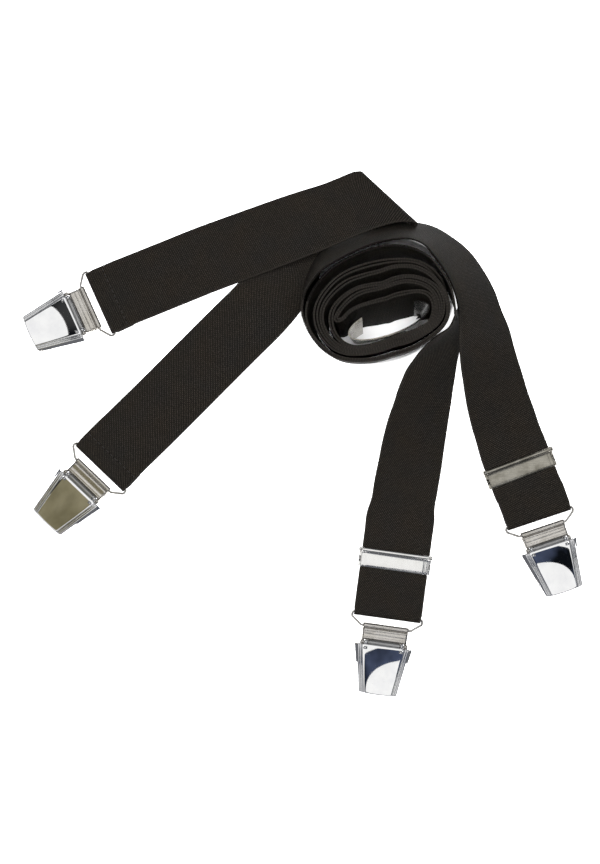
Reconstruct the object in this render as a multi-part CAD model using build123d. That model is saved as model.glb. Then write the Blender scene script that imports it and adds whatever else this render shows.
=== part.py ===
from build123d import *
import os
import math

os.makedirs("parts", exist_ok=True)

# ------------------------------------------------------------------
# X-back trouser suspenders, packed: the middle of both webbings is
# rolled into an oval coil that stands on its edge, and the four strap
# ends lie flat.  Millimetres, +Z up, origin on the resting surface
# under the centre of the whole object.
# ------------------------------------------------------------------
STRAP_W = 35.0        # webbing width
STRAP_T = 1.1         # webbing thickness
WIRE_R = 0.75         # clip wire loop, wire radius
WIRE_HALF = 18.1      # half length of the wide bar, wire centre
WIRE_NARROW = 12.75   # half length of the narrow bar, wire centre
WIRE_DROP = 6.6       # distance between the two bars
BAR_Z = 2.0           # height of the clip's wire bars above the surface
FOLD_HOLE = 0.85      # radius of the hole the wide bar turns in
FOLD_W = 34.4         # width of the webbing where it is gathered round the bar
FOLD_BACK = 12.0      # length of the folded end behind the bar
TOP_Z = 1.95          # underside of the upper webbing layer where it is doubled
KNUCKLE_OR = 1.5      # rolled knuckle of the clip plate, outer radius
KNUCKLE_IR = 0.80
PIN_Y = 15.0          # clip hinge pin, distance from the wide bar
PIN_Z = 3.6
PIN_R = 0.90
PLATE_T = 0.7         # clip plate thickness
COVER_Y0, COVER_Y1 = 17.6, 39.8
COVER_HALF0, COVER_HALF1 = 14.5, 10.8
COVER_TOP = 5.9
SHEET_T = 0.6
COIL_H = 34.6         # height of the coil standing on its edge
ADJ_PIN_Z = 4.5       # adjuster pin above the surface
ADJ_PIN_R = 0.7
ADJ_HALF = 18.6       # half width over the adjuster's ears
ADJ_LEN = 8.8         # length of the adjuster flap below its pin
CENTRE = Pos(-1.06, 0.0, 0.0)   # puts the origin under the middle of the whole object

# end points: centre of each clip's wide bar and outward direction
ENDS = {
    1: ((-103.1, 67.5), 204.5),
    2: ((-102.4, -17.9), 226.3),
    3: ((44.9, -94.7), 262.2),
    4: ((122.9, -44.1), 288.4),
}
# adjusters: point on the pin and outward sliding direction
ADJUSTERS = {3: ((49.2, -63.3), 262.2), 4: ((112.4, -15.6), 290.4)}


def local(n):
    (x, y), a = ENDS[n]
    return Pos(x, y, 0) * Rot(0, 0, a - 90)


def adj_local(n):
    (x, y), a = ADJUSTERS[n]
    return Pos(x, y, 0) * Rot(0, 0, a - 90)


def save(shape, name):
    shape = CENTRE * shape
    shape.label = name
    export_step(shape, f"parts/{name}.step")


def prism_x(points, half):
    """Closed outline in the local Y-Z plane, extruded evenly to both sides along X."""
    wire = Polyline(*[(y, z) for y, z in points], close=True)
    face = make_face(Plane.YZ * wire)
    return extrude(face, amount=half, both=True)


def plate_xy(points, z0, t):
    face = make_face(Plane.XY.offset(z0) * Polyline(*points, close=True))
    return extrude(face, amount=t)


def cyl_x(r, half, y, z, x=0):
    return Pos(x, y, z) * Rot(0, 90, 0) * Cylinder(r, 2 * half)


# ------------------------------------------------------------------
# webbing
# ------------------------------------------------------------------
def ribbon(stations, t=STRAP_T, closed_up=(0, 0, 1)):
    """Loft of a thin strip through stations (left edge, right edge), lower face given."""
    L = [Vector(*a) for a, b in stations]
    R = [Vector(*b) for a, b in stations]
    n = len(stations)
    wires = []
    for i in range(n):
        c0 = (L[max(i - 1, 0)] + R[max(i - 1, 0)]) * 0.5
        c1 = (L[min(i + 1, n - 1)] + R[min(i + 1, n - 1)]) * 0.5
        tan = (c1 - c0).normalized()
        nor = (R[i] - L[i]).cross(tan).normalized() * t
        if nor.Z < 0:
            nor = nor * -1
        wires.append(Wire.make_polygon([L[i], R[i], R[i] + nor, L[i] + nor], close=True))
    return Solid.make_loft(wires, ruled=True)


def width35(stations):
    out = []
    for a, b in stations:
        a, b = Vector(*a), Vector(*b)
        m, d = (a + b) * 0.5, (b - a).normalized() * (STRAP_W / 2)
        p, q = m - d, m + d
        up = max(0.0, min(a.Z, b.Z, 0.3) - min(p.Z, q.Z))
        out.append(((p.X, p.Y, p.Z + up), (q.X, q.Y, q.Z + up)))
    return out


def end_station(n, back, z):
    """Left and right edge points of strap n at a distance behind its bar."""
    (x, y), a = ENDS[n]
    r = math.radians(a)
    cx, cy = x - back * math.cos(r), y - back * math.sin(r)
    # left seen from above when looking from the clip to the coil
    lx, ly = -math.sin(r + math.pi), math.cos(r + math.pi)
    h = STRAP_W / 2
    return ((cx + lx * h, cy + ly * h, z), (cx - lx * h, cy - ly * h, z))


def strap_end(n, seam_len):
    """Folded strap end round the wide bar: upper layer, half-round fold, lower layer."""
    r0, r1 = FOLD_HOLE, FOLD_HOLE + STRAP_T
    z = BAR_Z
    upper = prism_x([(0, z + r0), (0, z + r1), (-FOLD_BACK, TOP_Z + STRAP_T), (-FOLD_BACK, TOP_Z)], FOLD_W / 2)
    lower = prism_x([(0, z - r0), (0, z - r1), (-seam_len, z - r1), (-seam_len, z - r1 + STRAP_T)], FOLD_W / 2)
    tube = cyl_x(r1, FOLD_W / 2, 0, z) - cyl_x(r0, FOLD_W, 0, z)
    half = tube & (Pos(0, 5, z) * Box(60, 10, 10))
    body = upper + lower + half
    return local(n) * body


STRAP1 = [
    ((-87.6, 93.8, 0.6), (-74.2, 60.9, 0.6)), ((-71.2, 100.7, 0.3), (-58.9, 67.1, 0.4)),
    ((-55.8, 107.1, 0.4), (-43.2, 73.3, 0.8)), ((-40.8, 113.0, 0.9), (-28.6, 78.3, 2.0)),
    ((-25.1, 118.6, 1.6), (-14.0, 83.5, 3.8)), ((-10.5, 123.3, 2.4), (0.3, 88.9, 6.6)),
    ((1.0, 126.6, 3.2), (12.6, 93.6, 9.8)), ((11.0, 129.2, 4.4), (21.9, 97.2, 13.8)),
    ((18.4, 131.8, 6.0), (31.0, 100.6, 16.6)), ((25.0, 134.4, 8.0), (42.0, 104.6, 16.6)),
    ((31.0, 135.4, 9.2), (54.0, 108.8, 14.2)),
]
STRAP1_UNDER = [
    ((58.3, 110.2, 6.6), (30.6, 134.6, 4.4)), ((53.0, 113.0, 4.4), (27.4, 129.4, 2.6)),
    ((50.4, 112.4, 3.2), (21.0, 120.4, 1.6)),
]
STRAP2 = [
    ((-96.9, 12.9, 0.6), (-72.4, -12.4, 0.6)), ((-86.0, 23.8, 0.15), (-61.1, -1.1, 0.15)),
    ((-64.8, 45.4, 0.1), (-40.0, 20.2, 0.1)), ((-44.5, 66.0, 0.1), (-19.8, 40.6, 0.1)),
    ((-33.9, 76.6, 0.1), (-9.8, 50.6, 0.1)), ((-27.0, 84.5, 0.1), (-2.6, 59.0, 0.1)),
    ((-22.4, 90.0, 0.1), (1.6, 65.2, 0.1)),
]
STRAP3 = [
    ((35.9, -37.4, 1.95), (70.0, -44.9, 1.95)), ((38.7, -23.2, 4.6), (72.8, -28.2, 1.4)),
    ((41.2, -12.0, 7.2), (74.4, -18.0, 1.0)), ((43.7, -1.7, 9.6), (76.0, -8.0, 0.6)),
    ((46.3, 10.3, 11.6), (77.9, 4.1, 0.4)), ((50.4, 23.0, 13.8), (80.6, 17.7, 0.3)),
    ((56.4, 32.8, 16.7), (83.0, 32.4, 0.3)), ((61.4, 38.6, 19.2), (84.4, 41.8, 0.3)),
    ((66.4, 43.0, 20.8), (85.2, 50.2, 0.3)), ((71.0, 46.3, 21.7), (85.6, 56.0, 0.3)),
    ((75.9, 50.0, 22.9), (85.6, 61.2, 0.3)),
]
STRAP4 = [
    ((92.4, -13.4, 1.95), (125.2, -1.2, 1.95)), ((88.5, -0.5, 5.0), (121.1, 10.7, 1.5)),
    ((85.7, 11.5, 8.2), (118.0, 20.0, 0.9)), ((83.7, 23.7, 10.8), (114.9, 29.9, 0.5)),
    ((82.6, 35.7, 13.9), (111.0, 41.8, 0.3)), ((82.6, 48.3, 16.7), (107.7, 53.9, 0.3)),
    ((82.6, 57.4, 18.9), (104.7, 63.9, 0.3)), ((81.0, 68.0, 20.8), (101.2, 74.0, 0.3)),
    ((78.2, 76.4, 22.9), (96.2, 83.5, 0.3)), ((75.0, 83.0, 24.6), (88.4, 94.5, 0.3)),
    ((70.4, 88.6, 26.2), (80.0, 101.6, 0.4)), ((63.6, 93.6, 27.6), (70.6, 107.2, 0.8)),
    ((56.0, 95.8, 28.4), (59.6, 109.0, 1.2)), ((47.6, 96.2, 28.8), (48.8, 108.4, 1.6)),
    ((37.2, 95.0, 29.0), (36.4, 106.2, 1.6)), ((27.2, 92.0, 29.0), (23.2, 102.0, 1.6)),
]

straps = {}
straps["strap_1_run"] = ribbon([end_station(1, FOLD_BACK, TOP_Z)] + width35(STRAP1))
straps["strap_1_tuck"] = ribbon(width35(STRAP1_UNDER))
straps["strap_2_run"] = ribbon([end_station(2, FOLD_BACK, TOP_Z)] + width35(STRAP2))


def straight(n, back):
    """Straight stretch of strap n, level, from its folded end to a distance behind the adjuster pin."""
    (x, y), a = ADJUSTERS[n]
    r = math.radians(a)
    cx, cy = x - back * math.cos(r), y - back * math.sin(r)
    lx, ly = -math.sin(r + math.pi), math.cos(r + math.pi)
    h = STRAP_W / 2
    return ((cx + lx * h, cy + ly * h, TOP_Z), (cx - lx * h, cy - ly * h, TOP_Z))


straps["strap_3_run"] = ribbon([end_station(3, FOLD_BACK, TOP_Z), straight(3, -16.0), straight(3, 20.0)] + width35(STRAP3))
straps["strap_4_run"] = ribbon([end_station(4, FOLD_BACK, TOP_Z), straight(4, -16.0), straight(4, 6.0)] + width35(STRAP4))

for n in (1, 2, 3, 4):
    save(strap_end(n, FOLD_BACK if n > 2 else 10.5), f"strap_{n}_fold")
for name, s in straps.items():
    save(s, name)


def under_layer(n):
    """Doubled lower layer from the folded end to the adjuster's cross bar."""
    (x, y), a = ENDS[n]
    r = math.radians(a)
    e = [(x - (FOLD_BACK + 0.0) * math.cos(r), y - (FOLD_BACK + 0.0) * math.sin(r))]
    (px, py), pa = ADJUSTERS[n]
    q = math.radians(pa)
    e.append((px + 4.0 * math.cos(q), py + 4.0 * math.sin(q)))
    st = []
    for (cx, cy), ang in ((e[0], r), (e[1], q)):
        lx, ly = -math.sin(ang + math.pi), math.cos(ang + math.pi)
        h = FOLD_W / 2
        st.append(((cx + lx * h, cy + ly * h, 0.05), (cx - lx * h, cy - ly * h, 0.05)))
    return ribbon(st)


for n in (3, 4):
    save(under_layer(n), f"strap_{n}_return")

# coil: the wound turns of both webbings, standing on edge, flared a little upwards
def ring_face(cx, cy, a, b, tilt, z):
    return Pos(cx, cy, z) * Rot(0, 0, math.degrees(tilt)) * Ellipse(a, b)


outer = loft([ring_face(41.0, 60.5, 33.2, 23.6, 0.24, 0), ring_face(39.3, 61.0, 37.4, 28.2, 0.24, COIL_H)])
inner = loft([ring_face(45.4, 53.6, 19.6, 4.6, 0.354, -0.01), ring_face(45.2, 53.9, 23.2, 8.9, 0.354, COIL_H + 0.01)])
coil = outer - inner
save(coil, "webbing_coil")

# cross keeper: nickelled sheet strip bent to a long C, standing in the coil's eye against its near wall
def eye_ellipse(a, b, z):
    c = Pos(45.4 - 0.2 * z / COIL_H, 53.6 + 0.3 * z / COIL_H, z)
    return c * Rot(0, 0, math.degrees(0.354)) * Ellipse(a, b)


KEEP_T = 0.7
k_out = loft([eye_ellipse(18.9, 3.9, 0.3), eye_ellipse(22.0, 7.5, 30.3)], ruled=True)
k_in = loft([eye_ellipse(18.9 - KEEP_T, 3.9 - KEEP_T, 0.3), eye_ellipse(22.0 - KEEP_T, 7.5 - KEEP_T, 30.3)], ruled=True)
keeper = k_out - k_in
keeper = keeper - Pos(45.3, 53.75, 15) * Rot(0, 0, math.degrees(0.354)) * Pos(1.5, 10.3, 0) * Box(28, 20, 40)
save(keeper, "cross_keeper")

# seams at the sewn ends: one row of thread across the webbing, ten stitches
for n in (1, 2):
    st = []
    for i in range(10):
        x = -14.4 + 3.2 * i
        yy = -7.5
        zt = BAR_Z + FOLD_HOLE + STRAP_T - 7.5 / FOLD_BACK * (BAR_Z + FOLD_HOLE - TOP_Z)
        st.append(Pos(x, yy, zt + 0.16) * Box(1.7, 0.45, 0.24))
    save(Compound([local(n) * s for s in st]), f"seam_{n}")

# ------------------------------------------------------------------
# clips
# ------------------------------------------------------------------
def wire_loop():
    # open path that starts and ends at the butt joint in the middle of the narrow bar
    g = 0.15
    h, m, d = WIRE_HALF, WIRE_NARROW, WIRE_DROP
    pts = [(g, d), (m, d), (h, 2.7), (h, 0), (-h, 0), (-h, 2.7), (-m, d), (-g, d)]
    path = FilletPolyline(*[(x, y, BAR_Z) for x, y in pts], radius=[1.3, 1.2, 1.2, 1.2, 1.2, 1.3])
    prof = Plane(origin=(g, d, BAR_Z), z_dir=(1, 0, 0)) * Circle(WIRE_R)
    return sweep(prof, path=path)


def clip_plate():
    z, d = BAR_Z, WIRE_DROP
    tube = cyl_x(KNUCKLE_OR, 11.75, d, z) - cyl_x(KNUCKLE_IR, 13, d, z)
    zb = z - KNUCKLE_OR
    neck = plate_xy([(-11.75, d), (11.75, d), (11.2, 17.0), (9.6, 38.2), (-9.6, 38.2), (-11.2, 17.0)], zb, PLATE_T)
    neck -= cyl_x(KNUCKLE_OR - 0.01, 13, d, z)
    body = tube + neck
    # open seam of the knuckle, and the notch over the wire's butt joint
    body -= Pos(0, d + 0.2, z + 0.3) * Box(4.4, 4.6, 3.2)
    # ears that carry the hinge pin
    for s in (-1, 1):
        ear = Pos(s * 10.8, (12.8 + 17.2) / 2, zb + 1.55) * Box(0.8, 4.4, 3.1)
        ear += cyl_x(1.55, 0.4, PIN_Y, PIN_Z, s * 10.8)
        ear -= cyl_x(PIN_R + 0.0, 2, PIN_Y, PIN_Z, s * 10.8)
        body += ear
    # pressed ribs across the neck
    for i in range(5):
        body += Pos(0, 8.9 + 0.95 * i, zb + PLATE_T) * Box(17.0, 0.35, 0.24)
    # serrated lip at the gripping end
    for i in range(4):
        body += prism_x([(33.6 + i, zb + PLATE_T - 0.05), (34.5 + i, zb + PLATE_T - 0.05), (34.05 + i, zb + PLATE_T + 0.25)], 8.2)
    return body


def clip_pin():
    p = cyl_x(PIN_R, 11.9, PIN_Y, PIN_Z)
    for s in (-1, 1):
        p += cyl_x(PIN_R + 0.35, 0.2, PIN_Y, PIN_Z, s * 11.65)
    return p


def clip_cover():
    # pressed trapezoid shell: domed top sheet with folded side walls and front lip
    y0, y1 = COVER_Y0, COVER_Y1
    pts = [(-COVER_HALF0, y0), (COVER_HALF0, y0), (COVER_HALF1, y1 - 0.9), (COVER_HALF1 - 1.2, y1), (-COVER_HALF1 + 1.2, y1), (-COVER_HALF1, y1 - 0.9)]
    zb = 1.7
    solid = plate_xy(pts, zb, COVER_TOP - zb)
    top = solid.faces().sort_by(Axis.Z)[-1]
    solid = fillet([e for e in top.edges() if e.center().Y > y0 + 0.5], 1.0)
    t = SHEET_T
    inn = [(-COVER_HALF0 + t, y0 - 1), (COVER_HALF0 - t, y0 - 1), (COVER_HALF1 - t, y1 - 1.3), (COVER_HALF1 - 1.7, y1 - t), (-COVER_HALF1 + 1.7, y1 - t), (-COVER_HALF1 + t, y1 - 1.3)]
    solid -= plate_xy(inn, zb - 1, COVER_TOP - t - zb + 1)
    # two fine flutes along each side
    for s in (-1, 1):
        for off in (2.4, 3.6):
            x0, x1 = s * (COVER_HALF0 - off), s * (COVER_HALF1 - off * 0.9)
            dx, dy = x1 - x0, (y1 - 2.2) - (y0 + 1.0)
            ang = math.degrees(math.atan2(-dx, dy))
            L = math.hypot(dx, dy)
            solid -= Pos((x0 + x1) / 2, (y0 + 1.0 + y1 - 2.2) / 2, COVER_TOP) * Rot(0, 0, ang) * Box(0.3, L, 0.36)
    # two lugs rolled round the pin
    for s in (-1, 1):
        lug = cyl_x(1.5, 1.0, PIN_Y, PIN_Z, s * 9.2)
        lug += Pos(s * 9.2, PIN_Y + 1.6, PIN_Z + 1.2) * Box(2.0, 3.2, 0.6)
        lug += Pos(s * 9.2, 18.0, 5.0) * Box(2.0, 1.6, 1.2)
        lug -= cyl_x(PIN_R + 0.05, 2, PIN_Y, PIN_Z, s * 9.2)
        solid += lug
    return solid


def clip_jaw():
    z = PIN_Z
    j = cyl_x(1.5, 7.8, PIN_Y, z)
    zb = z - 1.5
    j += plate_xy([(-7.8, PIN_Y), (7.8, PIN_Y), (8.6, 37.2), (-8.6, 37.2)], zb, PLATE_T)
    j -= cyl_x(PIN_R + 0.05, 12, PIN_Y, z)
    # toothed lip bent down towards the plate
    for i in range(9):
        x = -7.6 + 1.9 * i
        j += Pos(x, 36.4, zb - 0.2) * Box(1.0, 1.6, 0.5)
    return j


wl, cp, pin, cov, jaw = wire_loop(), clip_plate(), clip_pin(), clip_cover(), clip_jaw()
for n in (1, 2, 3, 4):
    L = local(n)
    save(L * wl, f"wire_loop_{n}")
    save(L * cp, f"clip_plate_{n}")
    save(L * pin, f"clip_pin_{n}")
    save(L * cov, f"clip_cover_{n}")
    save(L * jaw, f"clip_jaw_{n}")

# ------------------------------------------------------------------
# adjusters
# ------------------------------------------------------------------
def adjuster_frame():
    z0 = 1.3
    f = Pos(0, 3.5, z0 + 0.25) * Box(2 * ADJ_HALF, 10.0, 0.5)
    f -= Pos(0, 4.6, z0 + 0.25) * Box(34.8, 2.4, 2)      # slot behind the cross bar
    for s in (-1, 1):
        ear = Pos(s * (ADJ_HALF - 0.3), 0, (z0 + ADJ_PIN_Z) / 2) * Box(0.6, 2.6, ADJ_PIN_Z - z0)
        ear += cyl_x(1.3, 0.3, 0, ADJ_PIN_Z, s * (ADJ_HALF - 0.3))
        ear -= cyl_x(ADJ_PIN_R, 1, 0, ADJ_PIN_Z, s * (ADJ_HALF - 0.3))
        f += ear
    return f


def adjuster_pin():
    p = cyl_x(ADJ_PIN_R, ADJ_HALF + 0.4, 0, ADJ_PIN_Z)
    for s in (-1, 1):
        p += cyl_x(ADJ_PIN_R + 0.3, 0.2, 0, ADJ_PIN_Z, s * (ADJ_HALF + 0.25))
    return p


def adjuster_flap():
    z0 = ADJ_PIN_Z - 1.2
    f = cyl_x(1.2, 17.4, 0, ADJ_PIN_Z)
    f += Pos(0, ADJ_LEN / 2, z0 + 0.275) * Box(34.8, ADJ_LEN, 0.55)
    f -= cyl_x(ADJ_PIN_R + 0.05, 20, 0, ADJ_PIN_Z)
    for i in range(16):
        f += Pos(-15.75 + 2.1 * i, ADJ_LEN - 0.3, z0 - 0.04) * Box(1.1, 0.6, 0.12)
    return f


af, ap, al = adjuster_frame(), adjuster_pin(), adjuster_flap()
for n in (3, 4):
    L = adj_local(n)
    save(L * af, f"adjuster_frame_{n}")
    save(L * ap, f"adjuster_pin_{n}")
    save(L * al, f"adjuster_flap_{n}")
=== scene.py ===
import bpy, bmesh, math, random
import numpy as np
from mathutils import Vector, Matrix


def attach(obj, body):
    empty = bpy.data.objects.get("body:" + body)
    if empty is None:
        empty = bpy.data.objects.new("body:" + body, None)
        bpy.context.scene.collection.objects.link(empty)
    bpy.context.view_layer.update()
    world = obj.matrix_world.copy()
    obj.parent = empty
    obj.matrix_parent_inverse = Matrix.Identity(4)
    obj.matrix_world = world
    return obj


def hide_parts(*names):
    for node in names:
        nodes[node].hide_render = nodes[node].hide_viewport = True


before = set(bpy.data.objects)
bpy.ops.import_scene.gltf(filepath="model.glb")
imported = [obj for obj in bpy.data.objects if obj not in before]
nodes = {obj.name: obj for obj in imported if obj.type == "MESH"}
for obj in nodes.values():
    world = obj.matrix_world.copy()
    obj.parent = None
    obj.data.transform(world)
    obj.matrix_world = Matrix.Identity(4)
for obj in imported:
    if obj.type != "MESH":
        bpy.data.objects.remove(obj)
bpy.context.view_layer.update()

random.seed(7)
RNG = np.random.default_rng(7)
SX = -1.06          # the row frame's offset of the drawing's x, in mm
MM = 0.001

# ------------------------------------------------------------------ camera
E_, D_, S_ = math.radians(84.0), 1.2, 1930.0
scene = bpy.context.scene
cam_d = bpy.data.cameras.new("camera")
cam = bpy.data.objects.new("camera", cam_d)
scene.collection.objects.link(cam)
cam_d.sensor_fit = "HORIZONTAL"
cam_d.sensor_width = 36.0
cam_d.lens = 36.0 * S_ * D_ / 600.0
cam_d.clip_start, cam_d.clip_end = 0.01, 50
cam.location = (SX * MM, -D_ * math.cos(E_), D_ * math.sin(E_))
cam.rotation_euler = (math.pi / 2 - E_, 0, 0)
scene.camera = cam


# ------------------------------------------------------------------ node helpers
def new_mat(name):
    m = bpy.data.materials.new(name)
    m.use_nodes = True
    nt = m.node_tree
    for n in list(nt.nodes):
        nt.nodes.remove(n)
    out = nt.nodes.new("ShaderNodeOutputMaterial")
    b = nt.nodes.new("ShaderNodeBsdfPrincipled")
    nt.links.new(b.outputs[0], out.inputs[0])
    return m, nt, b


def N(nt, kind, **kw):
    n = nt.nodes.new(kind)
    for k, v in kw.items():
        if k.startswith("i_"):
            n.inputs[int(k[2:])].default_value = v
        else:
            setattr(n, k, v)
    return n


def math_node(nt, op, a=None, b=None, va=0.0, vb=0.0, clamp=False):
    n = nt.nodes.new("ShaderNodeMath")
    n.operation = op
    n.use_clamp = clamp
    if a is not None:
        nt.links.new(a, n.inputs[0])
    else:
        n.inputs[0].default_value = va
    if b is not None:
        nt.links.new(b, n.inputs[1])
    else:
        n.inputs[1].default_value = vb
    return n.outputs[0]


def mix_rgb(nt, fac, c0, c1):
    n = nt.nodes.new("ShaderNodeMix")
    n.data_type = "RGBA"
    nt.links.new(fac, n.inputs[0])
    for sock, c in ((n.inputs[6], c0), (n.inputs[7], c1)):
        if hasattr(c, "links"):
            nt.links.new(c, sock)
        else:
            sock.default_value = (*c, 1.0)
    return n.outputs[2]


def ramp(nt, fac, stops):
    n = nt.nodes.new("ShaderNodeValToRGB")
    nt.links.new(fac, n.inputs[0])
    el = n.color_ramp.elements
    while len(el) > 1:
        el.remove(el[-1])
    el[0].position, el[0].color = stops[0][0], (*stops[0][1], 1)
    for p, c in stops[1:]:
        e = el.new(p)
        e.color = (*c, 1)
    return n.outputs[0]


# ------------------------------------------------------------------ materials
def webbing_material():
    """Elastic webbing: 45 degree twill on both faces and weft ribs across, coloured dark in the weave's hollows and
    light on its crests as painted shade and painted highlight, and a selvedge band along each edge lightened as a
    painted highlight. UV is in millimetres.
    """
    m, nt, b = new_mat("webbing")
    uv = N(nt, "ShaderNodeUVMap", uv_map="strap")
    sep = N(nt, "ShaderNodeSeparateXYZ")
    nt.links.new(uv.outputs[0], sep.inputs[0])
    U, V = sep.outputs[0], sep.outputs[1]
    # thread directions
    d = math_node(nt, "ADD", U, V)
    twill = math_node(nt, "SINE", math_node(nt, "MULTIPLY", d, vb=2 * math.pi / 1.25))
    rib = math_node(nt, "SINE", math_node(nt, "MULTIPLY", V, vb=2 * math.pi / 0.72))
    warp = math_node(nt, "SINE", math_node(nt, "MULTIPLY", U, vb=2 * math.pi / 0.58))
    cell = math_node(nt, "MULTIPLY", rib, warp)
    h = math_node(nt, "ADD", math_node(nt, "MULTIPLY", twill, vb=0.30), math_node(nt, "MULTIPLY", rib, vb=0.16))
    h = math_node(nt, "ADD", h, math_node(nt, "MULTIPLY", cell, vb=0.18))
    noise = N(nt, "ShaderNodeTexNoise", noise_dimensions="3D")
    nt.links.new(uv.outputs[0], noise.inputs["Vector"])
    noise.inputs["Scale"].default_value = 1.7
    noise.inputs["Detail"].default_value = 3.0
    noise.inputs["Roughness"].default_value = 0.7
    h = math_node(nt, "ADD", h, math_node(nt, "MULTIPLY", math_node(nt, "SUBTRACT", noise.outputs[0], vb=0.5), vb=1.3))
    # selvedge: the last 0.9 mm on each side, lightened as a painted highlight where the edges catch the light
    au = math_node(nt, "ABSOLUTE", math_node(nt, "SUBTRACT", U, vb=17.5))
    edge = math_node(nt, "MULTIPLY", math_node(nt, "SUBTRACT", au, vb=16.6), vb=3.0, clamp=True)
    large = N(nt, "ShaderNodeTexNoise", noise_dimensions="3D")
    nt.links.new(uv.outputs[0], large.inputs["Vector"])
    large.inputs["Scale"].default_value = 0.06
    large.inputs["Detail"].default_value = 2.0
    # colour follows the weave's relief: the twill and ribs are the real pattern, and the dark hollows and light crests
    # are painted shade and painted highlight
    f = math_node(nt, "ADD", math_node(nt, "MULTIPLY", h, vb=0.95), vb=0.47, clamp=True)
    col = ramp(nt, f, [(0.0, (0.0010, 0.0010, 0.0009)), (0.38, (0.0044, 0.0040, 0.0035)), (0.70, (0.0150, 0.0132, 0.0110)), (1.0, (0.052, 0.046, 0.038))])
    warm = ramp(nt, large.outputs[0], [(0.3, (0.92, 0.95, 1.0)), (0.7, (1.10, 1.03, 0.96))])
    mul = N(nt, "ShaderNodeMix", data_type="RGBA", blend_type="MULTIPLY")
    mul.inputs[0].default_value = 1.0
    nt.links.new(col, mul.inputs[6]); nt.links.new(warm, mul.inputs[7])
    col2 = mix_rgb(nt, math_node(nt, "MULTIPLY", edge, vb=0.55), mul.outputs[2], (0.020, 0.018, 0.016))
    nt.links.new(col2, b.inputs["Base Color"])
    rough = math_node(nt, "ADD", math_node(nt, "MULTIPLY", noise.outputs[0], vb=0.15), vb=0.62)
    nt.links.new(rough, b.inputs["Roughness"])
    b.inputs["Specular IOR Level"].default_value = 0.06
    b.inputs["Sheen Weight"].default_value = 0.0
    b.inputs["Sheen Roughness"].default_value = 0.5
    b.inputs["Sheen Tint"].default_value = (0.9, 0.85, 0.8, 1)
    bump = N(nt, "ShaderNodeBump")
    bump.inputs["Strength"].default_value = 0.55
    bump.inputs["Distance"].default_value = 0.00012
    nt.links.new(h, bump.inputs["Height"])
    nt.links.new(bump.outputs[0], b.inputs["Normal"])
    return m


def metal_material(name, base, rough, streak=None, grain=900.0, bump_d=0.00001, tint=None, coat=0.0):
    """Plated metal: roughness varied by fine wear and, where brushed, long streaks along one local direction."""
    m, nt, b = new_mat(name)
    tc = N(nt, "ShaderNodeTexCoord")
    mp = N(nt, "ShaderNodeMapping")
    nt.links.new(tc.outputs["Object"], mp.inputs[0])
    if streak:
        mp.inputs["Rotation"].default_value = (0, 0, streak)
        mp.inputs["Scale"].default_value = (0.05, 1.0, 0.4)
    n1 = N(nt, "ShaderNodeTexNoise")
    nt.links.new(mp.outputs[0], n1.inputs["Vector"])
    n1.inputs["Scale"].default_value = grain * 4
    n1.inputs["Detail"].default_value = 4
    n2 = N(nt, "ShaderNodeTexNoise")
    nt.links.new(tc.outputs["Object"], n2.inputs["Vector"])
    n2.inputs["Scale"].default_value = 160
    n2.inputs["Detail"].default_value = 5
    r = math_node(nt, "ADD", math_node(nt, "MULTIPLY", math_node(nt, "SUBTRACT", n1.outputs[0], vb=0.5), vb=rough * 1.2), vb=rough)
    r = math_node(nt, "ADD", r, math_node(nt, "MULTIPLY", math_node(nt, "SUBTRACT", n2.outputs[0], vb=0.5), vb=rough * 0.6), clamp=True)
    nt.links.new(r, b.inputs["Roughness"])
    t = tint or tuple(c * 0.82 for c in base)
    col = ramp(nt, n2.outputs[0], [(0.30, t), (0.62, base)])
    nt.links.new(col, b.inputs["Base Color"])
    b.inputs["Metallic"].default_value = 1.0
    bump = N(nt, "ShaderNodeBump")
    bump.inputs["Strength"].default_value = 0.35
    bump.inputs["Distance"].default_value = bump_d
    nt.links.new(n1.outputs[0], bump.inputs["Height"])
    nt.links.new(bump.outputs[0], b.inputs["Normal"])
    return m


def thread_material():
    m, nt, b = new_mat("thread")
    tc = N(nt, "ShaderNodeTexCoord")
    w = N(nt, "ShaderNodeTexNoise")
    nt.links.new(tc.outputs["Object"], w.inputs["Vector"])
    w.inputs["Scale"].default_value = 4000
    col = ramp(nt, w.outputs[0], [(0.3, (0.008, 0.0075, 0.007)), (0.7, (0.030, 0.028, 0.026))])
    nt.links.new(col, b.inputs["Base Color"])
    b.inputs["Roughness"].default_value = 0.5
    bump = N(nt, "ShaderNodeBump")
    bump.inputs["Distance"].default_value = 0.00005
    nt.links.new(w.outputs[0], bump.inputs["Height"])
    nt.links.new(bump.outputs[0], b.inputs["Normal"])
    return m


MAT_WEB = webbing_material()
MAT_THREAD = thread_material()
MAT_CHROME = metal_material("chrome", (0.96, 0.96, 0.965), 0.03, bump_d=0.000004, tint=(0.88, 0.88, 0.90))
MAT_WIRE = metal_material("nickel_wire", (0.66, 0.65, 0.63), 0.16, bump_d=0.00001, tint=(0.46, 0.44, 0.41))
MAT_JAW = metal_material("jaw_steel", (0.50, 0.50, 0.50), 0.35, bump_d=0.00002)
MAT_KEEP = metal_material("keeper_nickel", (0.42, 0.40, 0.36), 0.24, bump_d=0.00001, tint=(0.25, 0.235, 0.20))
knt = MAT_KEEP.node_tree
kb = [q for q in knt.nodes if q.type == "BSDF_PRINCIPLED"][0]
ksep = N(knt, "ShaderNodeSeparateXYZ")
ktc = N(knt, "ShaderNodeTexCoord")
knt.links.new(ktc.outputs["Object"], ksep.inputs[0])
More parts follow.
